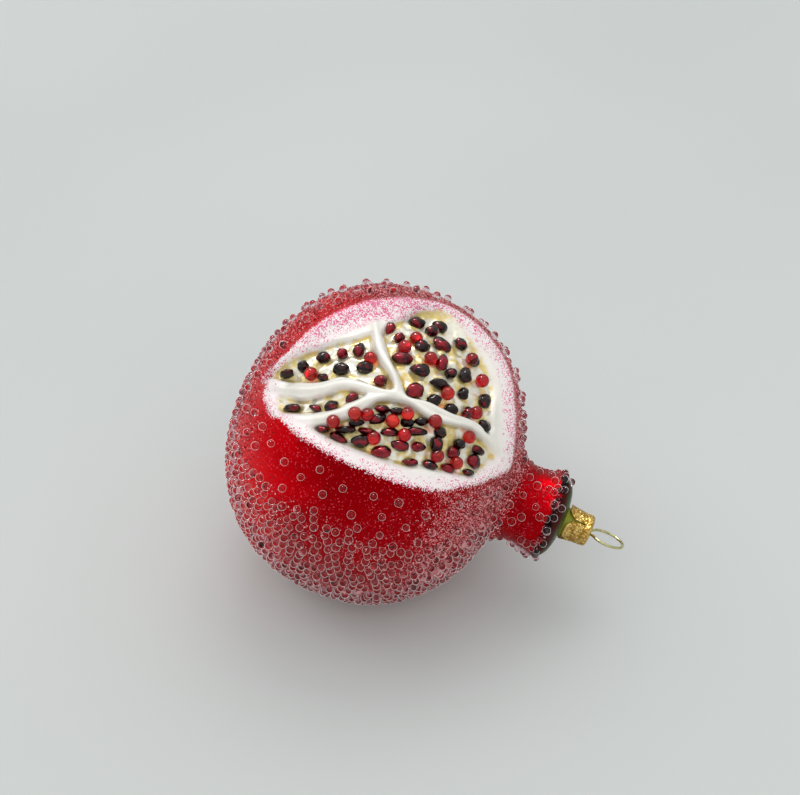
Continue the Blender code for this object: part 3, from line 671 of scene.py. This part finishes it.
RED_BEADS = (
    (-24.5, -4.0), (-10.5, 4.5), (-3.0, 12.0), (-1.0, 17.0), (5.0, 12.0), (16.0, 20.0),
    (21.0, 15.0), (13.0, 4.0), (23.0, 4.5),
    (-12.5, -16.0), (-8.0, -12.5), (-5.0, -11.5), (2.0, -10.5), (5.0, -7.0), (12.5, -5.5),
    (6.5, -12.5), (-1.0, -16.5), (24.0, -3.0), (17.0, -13.0), (23.0, -11.5),
)
RED_BEAD_RADIUS = 1.85 * MM
RED_BEAD_LIFT = 1.4 * MM
BEAD_RED = (0.58, 0.008, 0.016, 1)
BEAD_ORANGE = (0.80, 0.035, 0.022, 1)
BEAD_EDGE = (0.09, 0.0, 0.002, 1)


def red_bead_shapes():
    bead = unit_ball(24, 16)
    for along, across in RED_BEADS:
        normal, place = on_window(along, across, RED_BEAD_LIFT)
        turn = surface_frame(normal, even.uniform(0, 3))
        size = Matrix.Scale(RED_BEAD_RADIUS * even.uniform(0.92, 1.02), 4)
        yield bead, Matrix.Translation(place) @ turn @ size, even.random()


def red_glass_finish():
    """Clear red glass, which looks darker towards a bead's edge."""
    material, shade = new_finish("red_glass", BEAD_RED)
    swirl = shade.grain(1.5 * MM, 2)
    bright = (shade.noted("tone") + swirl * 0.3).step(0.8, 1.25).tint(BEAD_RED, BEAD_ORANGE)
    set_surface(shade, shade.finish(
        Base_Color=shade.slant().step(0.35, 0.80).tint(bright, BEAD_EDGE),
        Roughness=0.04 + swirl * 0.04,
        IOR=1.45,
        Transmission_Weight=0.92,
        Normal=shade.grain(1.1 * MM, 2).bump(0.25, 0.5 * MM),
    ))
    return material


gather("red_glass_beads", red_bead_shapes(), red_glass_finish())

# Clear glass beads of about 2 mm are shaken over wet glue: thickly over the base, the underside
# and the back, more thinly along the top, hardly any round the window, and some over the crown and
# its rim. They sit a little in the glue, and are pressed further in where the table is.

CLEAR_BEAD_RADIUS = 1.1 * MM
BEAD_GLUE_DEPTH = 0.45 * MM
BEAD_TRIES = 15000
CLOSEST_BEADS = 2.0 * MM
SPARSEST_BEADS = 5.4 * MM
BARE_BAND = math.radians(5)
SPARSE_BAND = math.radians(17)
THICK_BAND = math.radians(25)
TOP_THINNING = math.radians(18)
CROWN_CONE = math.radians(21)
CLUMP_SIZE = 7 * MM
CROWN_BEAD_RINGS = ((39.5, 12), (42.5, 9), (45.0, 8), (47.5, 9), (49.6, 11), (51.2, 17), (52.6, 20))
RING_STRAY = 0.9
TABLE_GAP = 0.02 * MM
CLEAR_BRIGHT = (0.92, 0.77, 0.80, 1)
CLEAR_DULL = (0.84, 0.64, 0.69, 1)
CLEAR_EDGE = (1.0, 0.90, 0.88, 1)


def window_edge_angle(directions):
    """The angle from each direction to the skin's nearest edge, less than 0 inside the window."""
    edge = np.array([plan_direction(*place) for place in skin_edge])
    angle = np.arccos(np.clip(directions @ edge.T, -1, 1)).min(1)
    front = directions[:, 1] > 0
    inside = np.zeros(len(directions), bool)
    inside[front] = inside_distance(directions[front][:, (2, 0)] * BALL_RADIUS, skin_edge) > 0
    return np.where(inside, -angle, angle)


def ball_bead_places():
    """(normal, place) of each bead on the ball: darts thrown evenly, kept where there is room."""
    height = np.array([even.uniform(-1, 1) for _ in range(BEAD_TRIES)])
    turn = np.array([even.uniform(0, math.tau) for _ in range(BEAD_TRIES)])
    ring = np.sqrt(1 - height**2)
    directions = np.column_stack((ring * np.cos(turn), ring * np.sin(turn), height))
    from_edge = window_edge_angle(directions)
    off_crown = np.arccos(np.clip(height, -1, 1)) > CROWN_CONE
    taken = np.empty((0, 3))
    for direction, angle in zip(directions[off_crown], from_edge[off_crown]):
        clump = noise.noise(Vector(direction) * BALL_RADIUS / CLUMP_SIZE)
        past_sparse = angle - SPARSE_BAND - TOP_THINNING * max(direction[0] - direction[2] / 2, 0)
        thin = 1 - float(ease(past_sparse / (THICK_BAND - SPARSE_BAND) + clump * 0.35))
        room = CLOSEST_BEADS + thin * (SPARSEST_BEADS - CLOSEST_BEADS)
        normal = Vector(direction)
        place = normal * (ball_radius(normal) + CLEAR_BEAD_RADIUS - BEAD_GLUE_DEPTH)
        clear = not len(taken) or np.linalg.norm(taken - place, axis=1).min() > room
        if angle > BARE_BAND and clear:
            taken = np.vstack((taken, place))
            yield normal, place


def crown_bead_places():
    """(normal, place) of the beads on the neck of the crown and round its black rim."""
    profile = smooth_curve(CROWN_PROFILE[:10], 8) * MM
    for along, count in CROWN_BEAD_RINGS:
        start = even.uniform(0, math.tau)
        for step in range(count):
            turn = start + math.tau * (step + even.uniform(-0.35, 0.35)) / count
            spot = (along + even.uniform(-RING_STRAY, RING_STRAY)) * MM
            radius = float(np.interp(spot, profile[:, 0], profile[:, 1]))
            ahead = float(np.interp(spot + 0.5 * MM, profile[:, 0], profile[:, 1]))
            out = Vector((math.cos(turn), math.sin(turn), 0))
            normal = (out + Vector((0, 0, (radius - ahead) / (0.5 * MM)))).normalized()
            lift = CLEAR_BEAD_RADIUS - BEAD_GLUE_DEPTH * even.uniform(1, 3)
            yield normal, out * radius + Vector((0, 0, spot)) + normal * lift


def bead_shapes(places):
    bead = unit_ball(14, 8)
    for normal, place in places:
        size = CLEAR_BEAD_RADIUS * even.uniform(0.85, 1.1)
        low = (fruit @ place).z - size - TABLE_GAP
        slope = -(fruit.to_3x3() @ normal).z
        if low < 0:
            place = place + normal * low / max(slope, 0.3)
        matrix = Matrix.Translation(place) @ surface_frame(normal, 0) @ Matrix.Scale(size, 4)
        yield bead, matrix, even.random()


def clear_glass_finish():
    """Clear glass whose edge, where it is seen aslant, catches the light as a pale ring."""
    material, shade = new_finish("clear_glass", CLEAR_BRIGHT)
    seedy = shade.grain(0.8 * MM, 2)
    clear = shade.finish(
        Base_Color=seedy.tint(CLEAR_BRIGHT, CLEAR_DULL),
        Roughness=0.01 + seedy * 0.03,
        IOR=1.28,
        Transmission_Weight=1.0,
    )
    edge = shade.finish(Base_Color=CLEAR_EDGE, Roughness=0.2 + seedy * 0.1)
    set_surface(shade, (shade.slant().step(0.53, 0.72) * 0.92).blend(clear, edge))
    return material


def strew_clear_beads():
    finish = clear_glass_finish()
    on_ball = list(bead_shapes(ball_bead_places()))
    half = len(on_ball) // 2
    batches = {
        "clear_beads_first_shake": on_ball[:half],
        "clear_beads_second_shake": on_ball[half:],
        "crown_beads": bead_shapes(crown_bead_places()),
    }
    for name, shapes in batches.items():
        piece = gather(name, shapes, finish)
        piece.visible_diffuse = piece.visible_glossy = False


strew_clear_beads()

# Crushed glass is shaken over the same wet glue before the beads: splintered grains of about half a
# millimetre, tinted by the lacquer under them. They lie thick on the crown's side, along the top of
# the window, and among the beads, and are scarce on the smooth front and on the crown's barrel.

GRAIN_TRIES = 158000
CROWN_GRAIN_TRIES = GRAIN_TRIES // 18
GRAIN_SHARE = 0.62
CLEAN_BAND = math.radians(0.6)
CROWN_GRAINS_START, CROWN_GRAINS_END = 37 * MM, 52.4 * MM
GRAIN_RADIUS = 0.24 * MM
GRAIN_SHADE = (0.12, 0.003, 0.005, 1)
GRAIN_RED = (0.52, 0.015, 0.04, 1)
GRAIN_GLINT = (0.90, 0.47, 0.47, 1)
splinters = np.random.default_rng(11)


def grain_places():
    """(where each grain on the ball lies, how thickly they lie there from 0 to 1)"""
    darts = splinters.normal(size=(GRAIN_TRIES, 3))
    darts /= np.linalg.norm(darts, axis=1)[:, None]
    along, across = darts[:, 2] * BALL_RADIUS / MM, darts[:, 0] * BALL_RADIUS / MM
    from_edge = window_edge_angle(darts)
    crown_side = ease((along - 4) / 26)
    among_beads = ease((from_edge - math.radians(16)) / math.radians(10)) * 0.5
    base_end = ease((-along - 22) / 12) * 0.5
    top = ease((across - np.minimum(along, 0) * 0.6 - 10) / 14)
    thick = 0.04 + 0.96 * np.maximum.reduce([crown_side, top, among_beads, base_end])
    kept = (splinters.random(GRAIN_TRIES) < thick * GRAIN_SHARE) & (from_edge > CLEAN_BAND)
    kept &= darts[:, 2] < math.cos(CROWN_CONE) * 1.01
    return (darts * ball_radii(darts)[:, None])[kept], thick[kept]


def crown_grain_places():
    """The same for the grains on the crown, which lie thickest at its neck and its rim."""
    profile = smooth_curve(CROWN_PROFILE[:10], 8) * MM
    along = splinters.uniform(CROWN_GRAINS_START, CROWN_GRAINS_END, CROWN_GRAIN_TRIES)
    thick = 1 - ease((along / MM - 39) / 4) + ease((along / MM - 49.5) / 2) * 0.6
    kept = splinters.random(len(along)) < 0.25 + 0.75 * thick
    along, thick = along[kept], thick[kept]
    turn = splinters.uniform(0, math.tau, len(along))
    radius = np.interp(along, profile[:, 0], profile[:, 1])
    return np.column_stack((radius * np.cos(turn), radius * np.sin(turn), along)), thick


def crush_glass(name, places, thick, finish):
    """One piece of many four-cornered splinters, each turned and stretched at random."""
    count = len(places)
    corners = np.array(((1, 1, 1), (1, -1, -1), (-1, 1, -1), (-1, -1, 1))) / math.sqrt(3)
    turned_corners = corners * splinters.choice((-1, 1), (count, 1, 3))
    sizes = GRAIN_RADIUS * splinters.uniform(0.7, 1.25, (count, 1, 1))
    points = (turned_corners + splinters.normal(0, 0.3, (count, 4, 3))) * sizes + places[:, None, :]
    sides = points[:, 1:] - points[:, :1]
    inside_out = np.einsum("ij,ij->i", np.cross(sides[:, 0], sides[:, 1]), sides[:, 2]) > 0
    points[inside_out] = points[inside_out][:, (0, 2, 1, 3)]
    order = np.array(((0, 1, 2), (0, 2, 3), (0, 3, 1), (1, 3, 2)))
    faces = (np.arange(count)[:, None, None] * 4 + order).reshape(-1, 3)
    mesh = bpy.data.meshes.new(name)
    mesh.from_pydata(points.reshape(-1, 3).tolist(), [], faces.tolist())
    tones = 0.42 + thick * 0.08 + splinters.uniform(-0.5, 0.5, count) * (0.4 + 0.6 * thick)
    mesh.attributes.new("tone", "FLOAT", "POINT").data.foreach_set("value", np.repeat(tones, 4))
    mesh.materials.append(finish)
    lay_down(mesh)
    piece = new_object(name, mesh)
    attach(piece, "root")


def crushed_glass_finish():
    material, shade = new_finish("crushed_glass", GRAIN_GLINT)
    grain_patches = shade.grain(1.2 * MM, 2)
    # Each grain is painted by its tone, shifted in patches: dark grains as painted shade, red ones
    # for the lacquer seen through them, pale ones as painted glints.
    tone = shade.noted("tone") + grain_patches * 0.3 - 0.15
    red = tone.step(0.22, 0.38).tint(GRAIN_SHADE, GRAIN_RED)
    set_surface(shade, shade.finish(
        Base_Color=tone.step(0.57, 0.75).tint(red, GRAIN_GLINT),
        Roughness=0.15 + grain_patches * 0.2,
        Specular_IOR_Level=0.3,
        Coat_Weight=0.25,
        Coat_Roughness=0.1,
    ))
    return material


def strew_crushed_glass():
    finish = crushed_glass_finish()
    places, thick = grain_places()
    half = len(places) // 2
    crush_glass("crushed_glass_first_shake", places[:half], thick[:half], finish)
    crush_glass("crushed_glass_second_shake", places[half:], thick[half:], finish)
    crush_glass("crown_crushed_glass", *crown_grain_places(), finish)


strew_crushed_glass()

# The cap is drawn from thin brass sheet that was first embossed all over with fine crinkles. Four
# slits part its skirt into petals with clipped corners, which spring out and grip the glass neck.

CAP_BASE = 56.9 * MM
CAP_TOP = 64.3 * MM
CAP_RADIUS = 4.5 * MM
CAP_FLARE = 0.55 * MM
CAP_TAPER = 0.1 * MM
CAP_METAL = 0.25 * MM
CAP_CORNER = 0.8 * MM
PETALS = 4
PETAL_TURN = math.radians(8)
SLIT_HALF_WIDTH = 0.25 * MM
SLIT_TOP = CAP_BASE + 4.9 * MM
PETAL_CORNER = 1.8 * MM
CRINKLE_SIZE = 0.75 * MM
CRINKLE_DEPTH = 0.15 * MM
CAP_COLUMNS, SKIRT_ROWS, TOP_ROWS = 256, 34, 26
BRASS_BRIGHT = (0.97, 0.71, 0.24, 1)
BRASS_DEEP = (0.40, 0.20, 0.025, 1)


def off_slit(turn):
    """How far round the skirt the nearest slit's middle is."""
    pitch = math.tau / PETALS
    return abs((turn - PETAL_TURN + pitch / 2) % pitch - pitch / 2) * CAP_RADIUS


def petal_tip(turn):
    """How far up the skirt ends: nothing at a petal's middle, more at its clipped corners."""
    return max(0.0, PETAL_CORNER + SLIT_HALF_WIDTH - off_slit(turn))


def in_slit(turn, along):
    return off_slit(turn) < SLIT_HALF_WIDTH and along < SLIT_TOP


def cap_point(turn, row):
    """A point of the cap's outside: rows run from the middle of its top, over the corner, down."""
    flat = CAP_RADIUS - CAP_CORNER
    if row <= TOP_ROWS:
        share = row / TOP_ROWS
        walk = share * (flat + CAP_CORNER * math.pi / 2)
        bend = max(walk - flat, 0) / CAP_CORNER
        radius = min(walk, flat) + CAP_CORNER * math.sin(bend)
        along = CAP_TOP - CAP_CORNER * (1 - math.cos(bend))
    else:
        share = (row - TOP_ROWS) / SKIRT_ROWS
        top = CAP_TOP - CAP_CORNER
        along = top - share * (top - CAP_BASE - petal_tip(turn))
        fall = (top - along) / (top - CAP_BASE)
        radius = CAP_RADIUS + CAP_FLARE * fall**3 + CAP_TAPER * fall
    out = Vector((math.cos(turn), math.sin(turn), 0))
    place = out * radius + Vector((0, 0, along))
    crinkle = noise.noise(place / CRINKLE_SIZE) + 0.5 * noise.noise(place / (CRINKLE_SIZE * 0.5))
    lift = out * min(row / TOP_ROWS, 1) + Vector((0, 0, max(1 - row / TOP_ROWS, 0)))
    return place + lift.normalized() * crinkle * CRINKLE_DEPTH


def press_cap():
    work = bmesh.new()
    middle = work.verts.new(cap_point(0, 0))
    turns = [math.tau * column / CAP_COLUMNS for column in range(CAP_COLUMNS)]
    grid = [
        [work.verts.new(cap_point(turn, row)) for turn in turns]
        for row in range(1, TOP_ROWS + SKIRT_ROWS + 1)
    ]
    for column in range(CAP_COLUMNS):
        following = (column + 1) % CAP_COLUMNS
        work.faces.new((middle, grid[0][column], grid[0][following]))
        turn = math.tau * (column + 0.5) / CAP_COLUMNS
        for upper, lower in zip(grid, grid[1:]):
            if not in_slit(turn, (upper[column].co.z + lower[column].co.z) / 2):
                work.faces.new((upper[column], lower[column], lower[following], upper[following]))
    bmesh.ops.delete(work, geom=[v for v in work.verts if not v.link_faces], context="VERTS")
    bmesh.ops.recalc_face_normals(work, faces=work.faces[:])
    mesh = bpy.data.meshes.new("embossed_cap")
    work.to_mesh(mesh)
    work.free()
    mesh.transform(fruit)
    smooth(mesh)
    cap = new_object("embossed_cap", mesh)
    sheet = cap.modifiers.new("sheet", "SOLIDIFY")
    sheet.thickness = CAP_METAL
    sheet.offset = -1
    return cap


def brass_finish():
    material, shade = new_finish("embossed_brass", BRASS_BRIGHT)
    crinkle = shade.flakes(CRINKLE_SIZE, "Distance")
    brass_patches = shade.grain(1.8 * MM, 3)
    # Painted shade: the brass is painted deeper in random patches and towards each crinkle's edge,
    # as dark reflections and shade among its crinkles.
    set_surface(shade, shade.finish(
        Base_Color=(brass_patches + crinkle * 0.5).step(0.4, 1.0).tint(BRASS_BRIGHT, BRASS_DEEP),
        Roughness=0.2 + brass_patches * 0.12,
        Metallic=1.0,
        Normal=(crinkle + shade.grain(0.3 * MM, 1) * 0.5).bump(0.9, 0.35 * MM),
    ))
    return material


cap = press_cap()
cap.data.materials.append(brass_finish())
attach(cap, "root")
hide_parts("metal_cap")

# The hanger is one length of hard bright wire. Its two legs are pushed through the cap into the
# neck, where they spring apart, and the rest is bent into an oval loop.

WIRE_RADIUS = 0.4 * MM
LOOP_ROLL = math.radians(20)
LEG_END = 52.5 * MM
LEG_SPREAD = 1.9 * MM
LEG_STEPS = 5
HOLE_SPREAD = 1.6 * MM
LOOP_START = 64.9 * MM
LOOP_CENTRE = 69.6 * MM
LOOP_HALF_WIDTH = 4.3 * MM
LOOP_HALF_LENGTH = 4.7 * MM
LOOP_STEPS = 44
WIRE_PALE = (0.62, 0.58, 0.30, 1)
WIRE_DULL = (0.24, 0.22, 0.08, 1)


def hanger_route():
    """(across, along) points of the wire: up one leg, round the loop and down the other leg."""
    leg = [
        (LEG_SPREAD + (HOLE_SPREAD - LEG_SPREAD) * float(ease(step / LEG_STEPS)),
         LEG_END + (LOOP_START - LEG_END) * step / LEG_STEPS)
        for step in range(LEG_STEPS)
    ]
    first = math.asin((LOOP_START - LOOP_CENTRE) / (1.1 * LOOP_HALF_LENGTH))
    loop = []
    for step in range(LOOP_STEPS + 1):
        turn = first + (math.pi - 2 * first) * step / LOOP_STEPS
        across = LOOP_HALF_WIDTH * math.cos(turn)
        loop.append((across, LOOP_CENTRE + LOOP_HALF_LENGTH * math.sin(turn)))
    return leg + loop + [(-across, along) for across, along in reversed(leg)]


def bend_hanger():
    curve = bpy.data.curves.new("spring_wire_hanger", "CURVE")
    curve.dimensions = "3D"
    curve.bevel_depth = WIRE_RADIUS
    curve.bevel_resolution = 5
    curve.use_fill_caps = True
    route = hanger_route()
    spline = curve.splines.new("POLY")
    spline.use_smooth = True
    spline.points.add(len(route) - 1)
    turn = WINDOW_ROLL + LOOP_ROLL
    side = Vector((math.cos(turn), -math.sin(turn), 0))
    for point, (across, along) in zip(spline.points, route):
        point.co = (*(fruit @ (side * across + Vector((0, 0, along)))), 1)
    return new_object("spring_wire_hanger", curve)


def wire_finish():
    material, shade = new_finish("bright_wire", WIRE_PALE)
    drawn = shade.grain(0.9 * MM, 3)
    set_surface(shade, shade.finish(
        Base_Color=drawn.step(0.45, 0.75).tint(WIRE_PALE, WIRE_DULL),
        Roughness=0.12 + drawn * 0.14,
        Metallic=1.0,
        Normal=shade.grain(0.25 * MM, 1).bump(0.1, 0.1 * MM),
    ))
    return material


hanger = bend_hanger()
hanger.data.materials.append(wire_finish())
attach(hanger, "root")
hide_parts("wire_hanger")

# The ornament lies on a table covered with smooth pale cloth, in a pale room. Soft light comes from
# above and a little behind, from the left, and more weakly from the front. A small lamp high on the
# left only shows as highlights on the glass.

TABLE_SIZE = 6.0
CLOTH_WHITE = (0.60, 0.625, 0.62, 1)
CLOTH_SHADE = (0.57, 0.595, 0.59, 1)
LIGHT_COLOUR = (1.0, 0.98, 0.96)
ROOM_COLOUR = (0.88, 0.90, 0.90, 1)
FLOOR_GLOW, CEILING_GLOW = 0.42, 1.02
CAMERA_TURN = math.radians(14.6)
CAMERA_RISE = math.radians(38)
CAMERA_DISTANCE = 0.450
PIXELS_PER_METRE = 3600
FRAME_WIDTH = 800
LOOK_RIGHT = 23.5 / PIXELS_PER_METRE
LOOK_UP = 43.5 / PIXELS_PER_METRE


def lay_table():
    work = bmesh.new()
    bmesh.ops.create_grid(work, x_segments=2, y_segments=2, size=TABLE_SIZE / 2)
    mesh = bpy.data.meshes.new("table")
    work.to_mesh(mesh)
    work.free()
    table = new_object("table", mesh)
    material, shade = new_finish("pale_cloth", CLOTH_WHITE)
    fold = shade.grain(0.25, 1)
    set_surface(shade, shade.finish(
        Base_Color=fold.step(0.3, 0.7).tint(CLOTH_WHITE, CLOTH_SHADE),
        Roughness=0.9,
        Normal=shade.grain(0.5 * MM, 2).bump(0.1, 0.2 * MM),
    ))
    mesh.materials.append(material)


def soft_light(name, place, size, power, lights_matt=True, shows_in_gloss=True):
    """A square light that faces the ornament and can be kept off matt or glossy surfaces."""
    light = bpy.data.lights.new(name, "AREA")
    light.size, light.energy, light.color = size, power, LIGHT_COLOUR
    lamp = new_object(name, light)
    lamp.location = place
    lamp.rotation_euler = (BALL_MIDDLE - Vector(place)).to_track_quat("-Z", "Y").to_euler()
    lamp.visible_diffuse, lamp.visible_glossy = lights_matt, shows_in_gloss


def set_up_camera():
    """Placed by the angle of view; the picture's middle is a little right of the ball and above."""
    right = Vector((math.cos(CAMERA_TURN), math.sin(CAMERA_TURN), 0))
    level = Vector((math.sin(CAMERA_TURN), -math.cos(CAMERA_TURN), 0))
    back = level * math.cos(CAMERA_RISE) + Vector((0, 0, math.sin(CAMERA_RISE)))
    up = back.cross(right)
    data = bpy.data.cameras.new("camera")
    data.sensor_width = 36
    data.lens = data.sensor_width * PIXELS_PER_METRE * CAMERA_DISTANCE / FRAME_WIDTH
    data.clip_start = 0.01
    camera = new_object("camera", data)
    place = BALL_MIDDLE + back * CAMERA_DISTANCE + right * LOOK_RIGHT + up * LOOK_UP
    axes = Matrix((right, up, back)).transposed()
    camera.matrix_world = Matrix.Translation(place) @ axes.to_4x4()
    bpy.context.scene.camera = camera


def set_up_room():
    """A pale room, dimmer towards the floor than overhead."""
    world = bpy.data.worlds.new("room")
    world.use_nodes = True
    background = world.node_tree.nodes["Background"]
    direction = Shade(world.node_tree).node("ShaderNodeTexCoord", (), (), "Generated")
    height = direction.node("ShaderNodeSeparateXYZ", (), {"Vector": direction}, "Z")
    bright = height.step(-0.1, 0.9) * (CEILING_GLOW - FLOOR_GLOW) + FLOOR_GLOW
    world.node_tree.links.new(bright.socket, background.inputs["Strength"])
    background.inputs["Color"].default_value = ROOM_COLOUR
    bpy.context.scene.world = world
    bpy.context.scene.view_settings.view_transform = "Standard"


lay_table()
soft_light("window_light", place=(0.0, 0.45, 1.05), size=0.6, power=1.5)
soft_light("left_fill", place=(-0.7, 0.0, 0.7), size=0.5, power=0.9)
soft_light("front_fill", place=(0.3, -0.8, 0.7), size=0.8, power=2.6, shows_in_gloss=False)
soft_light("highlights", place=(-0.25, 0.3, 1.05), size=0.3, power=6.0, lights_matt=False)
set_up_room()
set_up_camera()
